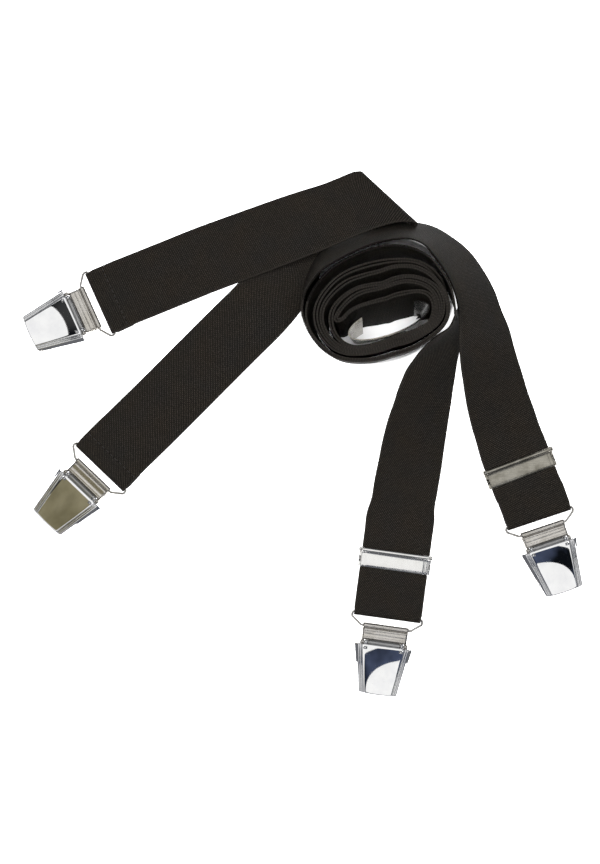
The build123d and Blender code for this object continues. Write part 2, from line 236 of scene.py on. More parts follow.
# painted shade: the keeper's colour turns near-black beyond x = 44 mm, where it runs into the shaded inside of the roll
keeper_painted_shade = math_node(knt, "MULTIPLY", math_node(knt, "SUBTRACT", ksep.outputs[0], vb=0.044), vb=90.0, clamp=True)
ksrc = kb.inputs["Base Color"].links[0].from_socket
knt.links.new(mix_rgb(knt, keeper_painted_shade, ksrc, (0.012, 0.011, 0.010)), kb.inputs["Base Color"])


def nickel(name, angle):
    return metal_material(name, (0.74, 0.71, 0.67), 0.26, streak=angle, grain=700, bump_d=0.00003, tint=(0.60, 0.57, 0.52))


# ------------------------------------------------------------------ mesh helpers
def link(name, me, mat, smooth=True):
    o = bpy.data.objects.new(name, me)
    scene.collection.objects.link(o)
    me.materials.append(mat)
    if smooth:
        me.polygons.foreach_set("use_smooth", [True] * len(me.polygons))
    return o


def spline(P, step, closed=False):
    """Centripetal Catmull-Rom through rows of P (n x k, the first 6 columns are two edge points), resampled about every step mm."""
    P = np.asarray(P, float)
    n = len(P)
    ctr = (P[:, :3] + P[:, 3:6]) / 2
    seg = np.linalg.norm(np.diff(ctr, axis=0), axis=1)
    seg = np.maximum(seg, 0.05)
    t = np.concatenate([[0], np.cumsum(seg)])
    # tangents by finite differences on a non-uniform grid
    T = np.zeros_like(P)
    for i in range(1, n - 1):
        h0, h1 = t[i] - t[i - 1], t[i + 1] - t[i]
        d0, d1 = (P[i] - P[i - 1]) / h0, (P[i + 1] - P[i]) / h1
        T[i] = (d0 * h1 + d1 * h0) / (h0 + h1)
    T[0] = (P[1] - P[0]) / (t[1] - t[0])
    T[-1] = (P[-1] - P[-2]) / (t[-1] - t[-2])
    m = max(2, int(round(t[-1] / step)) + 1)
    # keep more samples where control points are close together
    q = [0.0]
    for i in range(n - 1):
        k = max(1, int(math.ceil(seg[i] / step)))
        q += list(t[i] + (np.arange(k) + 1) / k * seg[i])
    q = np.array(q)
    out = []
    for x in q:
        i = min(max(int(np.searchsorted(t, x) - 1), 0), n - 2)
        h = t[i + 1] - t[i]
        s = (x - t[i]) / h
        out.append((2 * s**3 - 3 * s**2 + 1) * P[i] + (s**3 - 2 * s**2 + s) * h * T[i] + (-2 * s**3 + 3 * s**2) * P[i + 1] + (s**3 - s**2) * h * T[i + 1])
    return np.array(out)


def profile(w, t):
    """Closed cross-section of the webbing, (across, through): flat faces, a shallow groove inside each selvedge and round edges."""
    h = w / 2
    top = []
    for x in (-h + 0.30, -h + 0.75, -h + 1.10, -h + 1.5, -12, -8, -4, 0, 4, 8, 12, h - 1.5, h - 1.10, h - 0.75, h - 0.30):
        g = 0.07 if abs(abs(x) - (h - 1.10)) < 0.01 else 0.0
        top.append((x, t / 2 - g))
    right = [(h - 0.06, t * 0.42), (h, t * 0.27), (h - 0.10, t * 0.12), (h - 0.34, 0.0), (h - 0.10, -t * 0.12), (h, -t * 0.27), (h - 0.06, -t * 0.42)]
    bottom = [(x, -y) for x, y in reversed(top)]
    left = [(-x, -y) for x, y in right]
    return top + right + bottom + left


def ribbon_mesh(name, st, w=35.0, t=1.05, v0=0.0, cap=True):
    """Webbing through dense stations (n x 6: left edge, right edge, in mm). Returns the object and its length in mm."""
    st = np.asarray(st, float)
    L, R = st[:, :3], st[:, 3:6]
    C = (L + R) / 2
    A = R - L
    wid = np.linalg.norm(A, axis=1)
    A /= wid[:, None]
    T = np.gradient(C, axis=0)
    T /= np.maximum(np.linalg.norm(T, axis=1), 1e-9)[:, None]
    Nn = np.cross(A, T)
    Nn /= np.maximum(np.linalg.norm(Nn, axis=1), 1e-9)[:, None]
    prof = profile(w, t)
    m = len(prof)
    n = len(st)
    s = np.concatenate([[0], np.cumsum(np.linalg.norm(np.diff(C, axis=0), axis=1))])
    verts = []
    for i in range(n):
        k = wid[i] / w
        for x, y in prof:
            verts.append(C[i] + A[i] * x * k + Nn[i] * y)
    faces = []
    for i in range(n - 1):
        a, b = i * m, (i + 1) * m
        for j in range(m):
            j2 = (j + 1) % m
            faces.append((a + j, a + j2, b + j2, b + j))
    if cap:
        faces.append(tuple(range(m - 1, -1, -1)))
        faces.append(tuple((n - 1) * m + j for j in range(m)))
    V = np.array(verts)
    V[:, 0] += SX
    V *= MM
    me = bpy.data.meshes.new(name)
    me.from_pydata([tuple(v) for v in V], [], faces)
    uvl = me.uv_layers.new(name="strap")
    us = [x + 17.5 for x, y in prof]
    for f in me.polygons:
        for li in f.loop_indices:
            vi = me.loops[li].vertex_index
            uvl.data[li].uv = (us[vi % m], v0 + s[vi // m])
    me.validate()
    bm = bmesh.new(); bm.from_mesh(me); bmesh.ops.recalc_face_normals(bm, faces=bm.faces); bm.to_mesh(me); bm.free()
    o = link(name, me, MAT_WEB)
    return o, s[-1]


# ------------------------------------------------------------------ the coil
def sup(cx, cy, a, b, tilt, n, ph):
    c, s = math.cos(ph), math.sin(ph)
    x = a * math.copysign(abs(c) ** (2 / n), c)
    y = b * math.copysign(abs(s) ** (2 / n), s)
    return np.array([cx + x * math.cos(tilt) - y * math.sin(tilt), cy + x * math.sin(tilt) + y * math.cos(tilt)])


OT = (39.2, 61.2, 38.3, 29.2, 0.249, 2.25)
IT = (45.2, 53.9, 22.6, 9.0, 0.354, 2.4)
OB = (40.0, 61.4, 34.3, 25.6, 0.249, 2.25)
IB = (45.9, 51.7, 22.0, 4.4, 0.30, 2.4)
ZT, ZB = 34.45, 0.15


def coil_point(deg, g, gb=None):
    ph = math.radians(deg)
    gb = g if gb is None else gb
    t = sup(*OT, ph) * (1 - g) + sup(*IT, ph) * g
    b = sup(*OB, ph) * (1 - gb) + sup(*IB, ph) * gb
    return (t[0], t[1], ZT, b[0], b[1], ZB)


# distance of each strand's upper edge from the roll's axis (mm), at total winding angles in degrees
ROLL = (46.54, 55.38)
STACK = {
    4: [(180, 45.2), (210, 37.8), (240, 26.5), (270, 20.2), (300, 19.7), (330, 22.6), (360, 28.7), (390, 29.8), (420, 28.8), (450, 25.7), (465, 24.5), (480, 25.5), (510, 31.4), (540, 36.3), (570, 31.4), (600, 19.5), (630, 13.7), (660, 13.6), (690, 16.7), (720, 23.4), (750, 25.0), (780, 21.2), (810, 16.9), (825, 15.9), (840, 16.7), (870, 22.1), (900, 28.7)],
    3: [(0, 31.6), (15, 32.5), (30, 33.4), (45, 34.4), (60, 35.9), (75, 36.6), (90, 36.5), (105, 36.2), (120, 36.4), (150, 40.6), (180, 43.5), (210, 36.4), (240, 25.1), (270, 18.9), (300, 18.4), (330, 21.3), (360, 27.6), (390, 28.8), (420, 27.6), (450, 24.6), (465, 23.3), (480, 24.1), (510, 29.6), (540, 35.1), (570, 30.0), (600, 18.2), (630, 12.5), (660, 12.4), (690, 15.7), (720, 22.2), (750, 23.8), (780, 19.9), (810, 15.7), (825, 14.8), (840, 15.4), (870, 20.5), (900, 27.5)],
    1: [(8, 30.6), (20, 31.6), (30, 32.0), (60, 31.6), (90, 29.3), (105, 29.3), (120, 30.4), (150, 35.4), (180, 39.5), (210, 34.1), (240, 22.0), (270, 15.9), (300, 15.8), (330, 18.9), (360, 25.7), (390, 27.7), (420, 23.9), (450, 19.6), (465, 18.2), (480, 19.4), (510, 25.3), (540, 31.6), (570, 28.6), (600, 16.9), (630, 11.4), (660, 11.3), (690, 14.6), (720, 21.0), (750, 22.5), (780, 14.8), (810, 11.0), (825, 10.2), (840, 10.6), (870, 14.2), (900, 24.5)],
    2: [(14, 30.1), (30, 30.9), (60, 30.4), (90, 27.8), (105, 27.5), (120, 28.6), (150, 33.8), (180, 37.9), (210, 32.7), (240, 20.7), (270, 14.8), (300, 14.7), (330, 17.8), (360, 24.5), (390, 26.4), (420, 22.8), (450, 18.3), (465, 17.0), (480, 18.1), (510, 24.1), (540, 30.1), (570, 27.3), (600, 15.7), (630, 10.3), (660, 10.2), (690, 13.6), (720, 19.9), (750, 21.1), (780, 13.0), (810, 9.6), (825, 8.8), (840, 9.3), (870, 12.7), (900, 23.3)],
}


def on_stack(x, y):
    """Angle and depth (0 outer, 1 inner boundary) of a point of the upper plane, so that its foot can be found."""
    best = None
    ph = math.atan2(y - 58.0, x - 42.0)
    g = 0.3
    for _ in range(40):
        f0 = np.array(coil_point(math.degrees(ph), g)[:2]) - (x, y)
        if np.hypot(*f0) < 1e-4:
            break
        h = 1e-4
        fa = (np.array(coil_point(math.degrees(ph + h), g)[:2]) - (x, y) - f0) / h
        fg = (np.array(coil_point(math.degrees(ph), g + h)[:2]) - (x, y) - f0) / h
        J = np.array([fa, fg]).T
        d = np.linalg.lstsq(J, -f0, rcond=None)[0]
        ph += float(np.clip(d[0], -0.3, 0.3))
        g += float(np.clip(d[1], -0.2, 0.2))
    return math.degrees(ph), g


def interp(tab, a):
    xs = [p[0] for p in tab]
    ys = [p[1] for p in tab]
    i = min(max(int(np.searchsorted(xs, a) - 1), 0), len(xs) - 2)
    def slope(k):
        if k <= 0 or k >= len(xs) - 1:
            k = min(max(k, 0), len(xs) - 1)
            q = 0 if k == 0 else len(xs) - 2
            return (ys[q + 1] - ys[q]) / (xs[q + 1] - xs[q])
        h0, h1 = xs[k] - xs[k - 1], xs[k + 1] - xs[k]
        return ((ys[k] - ys[k - 1]) / h0 * h1 + (ys[k + 1] - ys[k]) / h1 * h0) / (h0 + h1)
    h = xs[i + 1] - xs[i]
    t = (a - xs[i]) / h
    return (2 * t**3 - 3 * t**2 + 1) * ys[i] + (t**3 - 2 * t**2 + t) * h * slope(i) + (-2 * t**3 + 3 * t**2) * ys[i + 1] + (t**3 - t**2) * h * slope(i + 1)


def wind(n, step=7.5):
    tab = STACK[n]
    a0, a1 = tab[0][0], tab[-1][0]
    k = int(round((a1 - a0) / step))
    out = []
    for a in np.linspace(a0, a1, k + 1):
        r = interp(tab, a)
        x, y = ROLL[0] + r * math.cos(math.radians(a)), ROLL[1] + r * math.sin(math.radians(a))
        ph, g = on_stack(x, y)
        q = coil_point(ph, g)
        out.append((x, y, ZT, q[3], q[4], q[5]))
    return out


# ------------------------------------------------------------------ strap ends
ENDS = {1: ((-103.1, 67.5), 204.5), 2: ((-102.4, -17.9), 226.3), 3: ((44.9, -94.7), 262.2), 4: ((122.9, -44.1), 288.4)}
ADJ = {3: ((49.2, -63.3), 262.2), 4: ((112.4, -15.6), 290.4)}
BAR_Z, FH, FB, TZ = 2.0, 0.85, 12.0, 1.95
WEB_T = 1.05


def dirs(a):
    r = math.radians(a)
    return np.array([math.cos(r), math.sin(r), 0.0]), np.array([math.sin(r), -math.cos(r), 0.0])


def at_end(n, y, z, w=35.0):
    """Station at local distance y (outward from the bar) and height z of the webbing's middle plane."""
    (ox, oy), a = ENDS[n]
    d, x = dirs(a)
    c = np.array([ox, oy, 0]) + d * y + np.array([0, 0, z])
    # left edge as seen going from the clip towards the coil is local +X
    return np.concatenate([c + x * w / 2, c - x * w / 2])


def at_adj(n, y, z, w=35.0):
    (ox, oy), a = ADJ[n]
    d, x = dirs(a)
    c = np.array([ox, oy, 0]) + d * y + np.array([0, 0, z])
    return np.concatenate([c + x * w / 2, c - x * w / 2])


def fold_stations(n, under):
    """From the far end of the lower layer, round the bar, to the top layer FB behind the bar. Middle plane radius."""
    rm = FH + 0.03 + WEB_T / 2
    out = []
    if under > 0:
        out.append(at_end(n, -under, BAR_Z - rm - 0.0))
        out.append(at_end(n, -under * 0.6, BAR_Z - rm))
        out.append(at_end(n, -1.5, BAR_Z - rm))
    for k in range(0, 9):
        th = -math.pi / 2 + math.pi * k / 8
        out.append(at_end(n, rm * math.cos(th), BAR_Z + rm * math.sin(th), 34.3))
    out.append(at_end(n, -2.0, BAR_Z + rm - 0.08))
    out.append(at_end(n, -5.0, BAR_Z + rm - 0.35))
    out.append(at_end(n, -9.0, BAR_Z + rm - 0.72))
    out.append(at_end(n, -FB, TZ + WEB_T / 2 + 0.02))
    return out


def mid(L, R, up=None):
    """Station from lower-face edge points: widens or narrows to 35 mm evenly."""
    L, R = np.array(L, float), np.array(R, float)
    c, d = (L + R) / 2, R - L
    d = d / np.linalg.norm(d)
    return np.concatenate([c - d * 17.5, c + d * 17.5])


# ------------------------------------------------------------------ the two webbings
S1 = [((-87.6, 93.8, 1.15), (-74.2, 60.9, 1.15)), ((-71.2, 100.7, 0.85), (-58.9, 67.1, 0.95)),
      ((-55.8, 107.1, 0.95), (-43.2, 73.3, 1.35)), ((-40.8, 113.0, 1.4), (-28.6, 78.3, 2.5)),
      ((-25.1, 118.6, 2.1), (-14.0, 83.5, 4.3)), ((-10.5, 123.3, 2.9), (0.3, 88.9, 7.1)),
      ((1.0, 126.6, 3.7), (12.6, 93.6, 10.3)), ((11.0, 129.2, 4.9), (21.9, 97.2, 14.3)),
      ((18.4, 131.8, 6.5), (31.0, 100.6, 17.1)), ((24.0, 134.2, 8.2), (42.0, 104.4, 17.1))]
S1_FOLD = [((29.0, 135.2, 9.4), (52.5, 107.6, 15.0)), ((32.2, 134.6, 9.4), (60.6, 107.4, 11.6))]
S1_UNDER = [((32.6, 133.8, 8.2), (60.8, 106.8, 10.2)), ((31.4, 132.8, 6.6), (60.0, 106.2, 8.8)), ((29.0, 128.0, 4.6), (57.6, 108.0, 6.6)),
            ((25.0, 121.0, 2.9), (54.6, 109.5, 4.4)), ((22.0, 113.6, 2.4), (53.0, 104.8, 3.4))]
S2 = [((-96.9, 12.9, 1.15), (-72.4, -12.4, 1.15)), ((-86.0, 23.8, 0.7), (-61.1, -1.1, 0.7)),
      ((-64.8, 45.4, 0.65), (-40.0, 20.2, 0.65)), ((-44.5, 66.0, 0.65), (-19.8, 40.6, 0.65)),
      ((-33.9, 76.6, 0.65), (-9.8, 50.6, 0.65)), ((-27.0, 84.5, 0.65), (-2.6, 59.0, 0.65)),
      ((-22.4, 90.0, 0.65), (1.6, 65.2, 0.65)), ((-17.4, 95.6, 0.65), (5.6, 69.4, 0.65)), ((15.0, 111.0, 0.65), (9.0, 73.5, 0.65))]
S3 = [((36.5, -35.5, 2.6), (69.3, -41.1, 1.9)),
      ((38.3, -25.4, 5.2), (71.0, -30.8, 1.6)),
      ((40.4, -15.3, 8.4), (72.9, -19.9, 1.3)),
      ((42.4, -5.4, 11.8), (74.5, -8.9, 1.0)),
      ((45.0, 4.6, 15.2), (76.3, 3.0, 0.8)),
      ((48.5, 14.5, 18.2), (78.6, 17.7, 0.6)),
      ((50.1, 19.6, 19.2), (79.4, 23.4, 0.5)),
      ((52.1, 24.5, 20.7), (80.3, 28.7, 0.4)),
      ((54.5, 29.7, 22.6), (81.1, 34.4, 0.4)),
      ((57.8, 34.2, 24.8), (82.1, 39.7, 0.3)),
      ((61.5, 38.8, 26.9), (83.4, 44.9, 0.3)),
      ((65.0, 42.2, 28.5), (84.3, 49.7, 0.3)),
      ((68.0, 44.8, 29.8), (84.8, 53.3, 0.3)),
      ((71.5, 47.2, 31.1), (84.9, 57.0, 0.3)),
      ((74.7, 49.1, 31.8), (84.1, 61.2, 0.3)),
      ((77.3, 52.4, 32.4), (82.3, 65.4, 0.3))]
S4 = [((90.6, -4.6, 4.2), (123.4, 4.7, 2.0)),
      ((89.2, -0.3, 5.4), (121.6, 10.5, 1.8)),
      ((86.1, 11.5, 8.8), (118.2, 20.2, 1.4)),
      ((83.9, 24.0, 12.6), (115.4, 29.9, 1.0)),
      ((82.2, 34.2, 17.7), (111.7, 42.3, 0.7)),
      ((81.6, 45.1, 20.9), (108.5, 54.4, 0.5)),
      ((81.5, 57.7, 19.6), (104.7, 63.9, 0.4)),
      ((79.6, 67.9, 21.8), (101.2, 74.0, 0.3)),
      ((76.2, 76.4, 23.9), (96.2, 83.5, 0.3)),
      ((72.0, 82.9, 25.6), (88.4, 94.5, 0.3)),
      ((67.6, 88.6, 27.2), (80.0, 101.6, 0.5)),
      ((63.5, 93.0, 28.6), (70.6, 107.2, 0.9)),
      ((55.6, 96.0, 29.4), (59.6, 109.8, 1.3)),
      ((46.9, 95.4, 30.2), (48.6, 110.6, 1.7)),
      ((37.0, 92.8, 31.2), (35.6, 108.4, 1.9)),
      ((27.8, 88.9, 32.2), (24.0, 104.0, 1.8)),
      ((18.3, 83.9, 33.0), (14.6, 97.0, 1.7)),
      ((11.0, 79.1, 33.6), (8.0, 90.0, 1.6)),
      ((6.3, 73.5, 34.0), (4.4, 82.0, 1.5)),
      ((2.9, 67.7, 34.3), (1.9, 72.6, 1.2))]


def norm35(st):
    """Every station 35 mm wide about its own middle, never below the resting surface."""
    out = []
    for a, b in st:
        a, b = np.array(a, float), np.array(b, float)
        c, d = (a + b) / 2, b - a
        d = d / np.linalg.norm(d)
        p, q = c - d * 17.5, c + d * 17.5
        up = max(0.0, 0.18 - min(p[2], q[2]))
        down = max(0.0, max(p[2], q[2]) - 34.5)
        p[2] += up - down
        q[2] += up - down
        out.append(np.concatenate([p, q]))
    return out


def raw(st):
    return [np.concatenate([np.array(a, float), np.array(b, float)]) for a, b in st]


def adj_rows(n, ys, z):
    return [at_adj(n, y, z) for y in ys]


# strand 3: clip end -> coil (left edge is the upper edge), then the wound turns
def strand34(n, flats, st, fold_under):
    rows = fold_stations(n, fold_under)
    rows += adj_rows(n, flats, TZ + WEB_T / 2 + 0.02)
    rows += raw(st)
    return rows


rows3 = strand34(3, (16.0, 3.0, -10.0, -20.0), S3, 0)
rows4 = strand34(4, (16.0, 4.0, -6.0), S4, 0)
rows1 = fold_stations(1, 10.5) + norm35(S1) + raw(S1_FOLD)
rows2 = fold_stations(2, 10.5) + norm35(S2[:-1]) + raw(S2[-1:])

w3, w4, w1, w2 = ([np.array(r) for r in wind(n)] for n in (3, 4, 1, 2))
# outermost turn: its foot stands out under the front strap
FOOT3 = {0: (82.4, 57.0), 7.5: (81.4, 62.0), 15: (80.0, 67.0), 22.5: (78.4, 71.4), 30: (76.3, 75.5), 37.5: (73.8, 79.0), 45: (71.0, 82.2)}
LEAN3 = [(45, 3.4), (60, 0.8), (75, -1.6), (90, -3.2), (105, -4.2), (120, -5.0), (170, -6.0)]
for i_, r_ in enumerate(w3):
    a_ = STACK[3][0][0] + (STACK[3][-1][0] - STACK[3][0][0]) * i_ / (len(w3) - 1)
    if a_ < 48:
        key_ = min(FOOT3, key=lambda v: abs(v - a_))
        r_[3:5] = FOOT3[key_]
    elif a_ < 170:
        out_ = np.array([r_[0] - ROLL[0], r_[1] - ROLL[1]])
        out_ /= np.linalg.norm(out_)
        own_ = float((r_[3:5] - r_[:2]) @ out_)
        want_ = interp(LEAN3, a_)
        if want_ > own_:
            r_[3:5] = r_[:2] + out_ * max(want_, own_)
# the two back strands rise from under the front strap into the roll
for w_, tops in ((w1, (9.0, 14.0, 20.0, 25.5, 30.0, 33.0)), (w2, (8.0, 13.0, 19.0, 25.0, 29.5, 32.7))):
    for i_, z_ in enumerate(tops):
        p_, q_ = w_[i_][:3], w_[i_][3:]
        f_ = (ZT - z_) / ZT
        out_ = np.array([p_[0] - ROLL[0], p_[1] - ROLL[1], 0.0])
        out_ /= np.linalg.norm(out_)
        p_[2] = z_
        q_[:2] -= out_[:2] * 17.0 * f_


# middle of webbing A (3 <-> 1) and of webbing B (4 <-> 2): each turns back on itself at the inner left end of the coil
def bend(last_a, prev_a, first_b, k=9):
    a, p, b = np.asarray(last_a), np.asarray(prev_a), np.asarray(first_b)
    out = []
    for e in (0, 3):
        A, Pp, B = a[e:e + 3], p[e:e + 3], b[e:e + 3]
        t = (A - Pp)
        t[2] = 0
        t = t / np.linalg.norm(t)
        m = (A + B) / 2
        h = B - A
        r = np.linalg.norm(h) / 2
        out.append([m - h / 2 * math.cos(math.pi * i / k) + t * r * 1.15 * math.sin(math.pi * i / k) for i in range(1, k)])
    return [np.concatenate([x, y]) for x, y in zip(*out)]


def densify(rows, step=1.6):
    return spline(np.array(rows), step)


# webbing A and B, each one piece from its front clip end through the coil, the turn back and the coil again; the runs
# on to the back clip ends are separate pieces
def webbing(name, front, w_in, w_out, back):
    rows = list(front) + list(w_in)
    rows += bend(w_in[-1].copy(), w_in[-2].copy(), w_out[-1].copy())
    rows += list(w_out)[::-1]
    st = densify(rows)
    o, length = ribbon_mesh(name, st)
    return o, length, st


web_a, len_a, st_a = webbing("webbing_a", rows3, w3, w1, None)
web_b, len_b, st_b = webbing("webbing_b", rows4, w4, w2, None)
back_1, len_1 = ribbon_mesh("webbing_a_back", densify(rows1 + raw(S1_UNDER)))
back_2, len_2 = ribbon_mesh("webbing_b_back", densify(rows2))
print("LENGTHS", len_a, len_b, len_1, len_2)


# ------------------------------------------------------------------ hardware helpers
def local_matrix(x, y, a):
    return Matrix.Translation(((x + SX) * MM, y * MM, 0)) @ Matrix.Rotation(math.radians(a - 90), 4, "Z")


def bake(o, x, y, a):
    """Geometry drawn in millimetres in a strap's own frame goes to the row frame."""
    o.data.transform(Matrix.Scale(MM, 4))
    o.data.transform(local_matrix(x, y, a))
    o.data.update()
    return o


def grid_mesh(name, P, closed_u=False):
    nu, nv = len(P), len(P[0])
    verts = [p for row in P for p in row]
    faces = []
    for i in range(nu - (0 if closed_u else 1)):
        for j in range(nv - 1):
            a, b = i * nv + j, ((i + 1) % nu) * nv + j
            faces.append((a, b, b + 1, a + 1))
    me = bpy.data.meshes.new(name)
    me.from_pydata([tuple(map(float, v)) for v in verts], [], faces)
    return me


def tube(name, pts, r, mat, seg=14, closed=False, cap=True):
    """Round wire along dense points."""
    P = np.array(pts, float)
    T = np.gradient(P, axis=0)
    if closed:
        T[0] = P[1] - P[-1]; T[-1] = P[0] - P[-2]
    T /= np.linalg.norm(T, axis=1)[:, None]
    up = np.array([0, 0, 1.0])
    rows = []
    for p, t in zip(P, T):
        u = up if abs(t @ up) < 0.98 else np.array([1.0, 0, 0])
        a = np.cross(t, u); a /= np.linalg.norm(a)
        b = np.cross(a, t)
        rows.append([p + r * (math.cos(2 * math.pi * k / seg) * a + math.sin(2 * math.pi * k / seg) * b) for k in range(seg)])
    verts = [tuple(v) for row in rows for v in row]
    faces = []
    n = len(rows)
    for i in range(n - (0 if closed else 1)):
        for k in range(seg):
            a, b = i * seg, ((i + 1) % n) * seg
            faces.append((a + k, a + (k + 1) % seg, b + (k + 1) % seg, b + k))
    if cap and not closed:
        faces.append(tuple(range(seg - 1, -1, -1)))
        faces.append(tuple((n - 1) * seg + k for k in range(seg)))
    me = bpy.data.meshes.new(name)
    me.from_pydata(verts, [], faces)
    bm = bmesh.new(); bm.from_mesh(me); bmesh.ops.recalc_face_normals(bm, faces=bm.faces); bm.to_mesh(me); bm.free()
    return link(name, me, mat)


def fillet_path(pts, radii, step=0.5):
    """Polyline with rounded corners, resampled."""
    P = [np.array(p, float) for p in pts]
    out = [P[0]]
    for i in range(1, len(P) - 1):
        a, b, c = P[i - 1], P[i], P[i + 1]
        u, v = (a - b) / np.linalg.norm(a - b), (c - b) / np.linalg.norm(c - b)
        ang = math.acos(max(-1, min(1, float(u @ v))))
        d = radii[i - 1] / math.tan(ang / 2)
        p0, p1 = b + u * d, b + v * d
        cen = b + (u + v) / np.linalg.norm(u + v) * radii[i - 1] / math.sin(ang / 2)
        q0, q1 = p0 - cen, p1 - cen
        w = math.acos(max(-1, min(1, float(q0 @ q1) / radii[i - 1] ** 2)))
        k = 8
        for j in range(k + 1):
            s = j / k
            out.append(cen + (math.sin((1 - s) * w) * q0 + math.sin(s * w) * q1) / math.sin(w))
    out.append(P[-1])
    res = [out[0]]
    for a, b in zip(out[:-1], out[1:]):
        L = np.linalg.norm(b - a)
        k = max(1, int(L / step))
        for j in range(1, k + 1):
            res.append(a + (b - a) * j / k)
    return res


def solid_from_outline(name, outline, z0, z1, mat, bevel=0.12, seg=2):
    """Flat sheet part with rounded edges from an outline in the local plane."""
    n = len(outline)
    verts = [(x, y, z0) for x, y in outline] + [(x, y, z1) for x, y in outline]
    faces = [tuple(range(n - 1, -1, -1)), tuple(range(n, 2 * n))]
    for i in range(n):
        j = (i + 1) % n
        faces.append((i, j, n + j, n + i))
    me = bpy.data.meshes.new(name)
    me.from_pydata(verts, [], faces)
    bm = bmesh.new(); bm.from_mesh(me)
    bmesh.ops.recalc_face_normals(bm, faces=bm.faces)
    if bevel:
        bmesh.ops.bevel(bm, geom=[e for e in bm.edges if abs(e.verts[0].co.z - e.verts[1].co.z) < 1e-6], offset=bevel, segments=seg, profile=0.5, affect="EDGES")
    bm.to_mesh(me); bm.free()
    return link(name, me, mat)


# ------------------------------------------------------------------ clip covers
C_Y0, C_Y1, C_H0, C_H1, C_TOP = 16.9, 39.9, 14.6, 10.9, 5.95


def cover_mesh(name):
    """Pressed lever cover: domed roof, two flutes on each side, side walls and a rounded free lip, 0.6 mm sheet."""
    nv = 40
    rows = []
    for j in range(nv + 1):
        v = j / nv
        y = C_Y0 + (C_Y1 - C_Y0) * v
        half = C_H0 + (C_H1 - C_H0) * v
        # free end is slightly convex
        row = []
        us = [-1, -0.985, -0.955, -0.93]
        row = []
        prof = section(half, v)
        for x, z in prof:
            yy = y + (0.75 * (1 - (x / half) ** 2) * v ** 6)
            row.append((x, yy, z))
        rows.append(row)
    # roll the free end down into a lip
    last = rows[-1]
    for k, (dy, dz) in enumerate([(0.28, -0.10), (0.50, -0.34), (0.60, -0.75), (0.60, -1.5), (0.55, -2.4), (0.45, -3.3)]):
        rows.append([(x * (1 - 0.006 * (k + 1)), y + dy, max(min(z, max(z + dz, 1.75)), 1.7)) for x, y, z in last])
    # rear edge curls down a little above the pin
    first = rows[0]
    rear = []
    for k, (dy, dz) in enumerate([(-0.9, -0.30), (-0.5, -0.12)]):
        rear.append([(x, y + dy, z + dz if abs(x) < C_H0 - 0.7 else z) for x, y, z in first])
    rows = rear + rows
    me = grid_mesh(name, rows)
    bm = bmesh.new(); bm.from_mesh(me)
    bmesh.ops.recalc_face_normals(bm, faces=bm.faces)
    bm.to_mesh(me); bm.free()
    o = link(name, me, MAT_CHROME)
    return o


def section(half, v):
    """Cross-section of the cover at a place along it: from the foot of one wall over the roof to the other foot."""
    crown = 0.42 * math.sin(math.pi * min(1.0, 0.12 + 0.88 * v)) + 0.10
    pts = []
    top = C_TOP - crown * 0.35
    pts.append((-half - 0.35, 1.75))
    pts.append((-half - 0.35, 2.6))
    pts.append((-half - 0.32, 3.1))
    pts.append((-half - 0.18, 3.5))
    pts.append((-half + 0.30, 4.10))
    pts.append((-half + 0.85, 4.72))
    pts.append((-half + 1.20, 5.14))
    pts.append((-half + 1.45, 5.36))
    pts.append((-half + 1.75, 5.46))
    for f0 in (2.35, 3.45):
        pts += [(-half + f0 - 0.40, 5.50), (-half + f0 - 0.20, 5.42), (-half + f0, 5.24), (-half + f0 + 0.20, 5.42), (-half + f0 + 0.40, 5.56)]
    inner = half - 4.0
    for k in range(1, 24):
        x = -inner + 2 * inner * k / 24
        z = 5.58 + (C_TOP - 5.58) * (1 - (x / inner) ** 2)
        pts.append((x, z))
    left = [p for p in pts if p[0] < -inner + 1e-6]
    right = [(-x, z) for x, z in reversed(left)]
    fall = 0.85 * (1 - v) ** 2.2
    return [(x, z - fall * min(1.0, max(0.0, (z - 3.0) / 2.0))) for x, z in pts + right]


def cover(n):
    (x, y), a = ENDS[n]
    o = cover_mesh(f"cover_shell_{n}")
    bake(o, x, y, a)
    so = o.modifiers.new("sheet", "SOLIDIFY")
    so.thickness = 0.0006
    so.offset = -1
    so.use_even_offset = True
    return o


def finish_mods(o):
    dg = bpy.context.evaluated_depsgraph_get()
    me = bpy.data.meshes.new_from_object(o.evaluated_get(dg))
    old = o.data
    o.modifiers.clear()
    o.data = me
    bpy.data.meshes.remove(old)
    me.name = o.name
    return o


def join(name, objs):
    """One mesh from several built in the row frame."""
    bm = bmesh.new()
    mats = []
    for o in objs:
        off = {}
        for i, m in enumerate(o.data.materials):
            if m not in mats:
                mats.append(m)
            off[i] = mats.index(m)
        k = len(bm.faces)
        bm.from_mesh(o.data)
        bm.faces.ensure_lookup_table()
        for f in bm.faces[k:]:
            f.material_index = off.get(f.material_index, 0)
    me = bpy.data.meshes.new(name)
    bm.to_mesh(me); bm.free()
    for o in objs:
        d = o.data
        bpy.data.objects.remove(o)
        bpy.data.meshes.remove(d)
    o = bpy.data.objects.new(name, me)
    scene.collection.objects.link(o)
    for m in mats:
        me.materials.append(m)
    return o


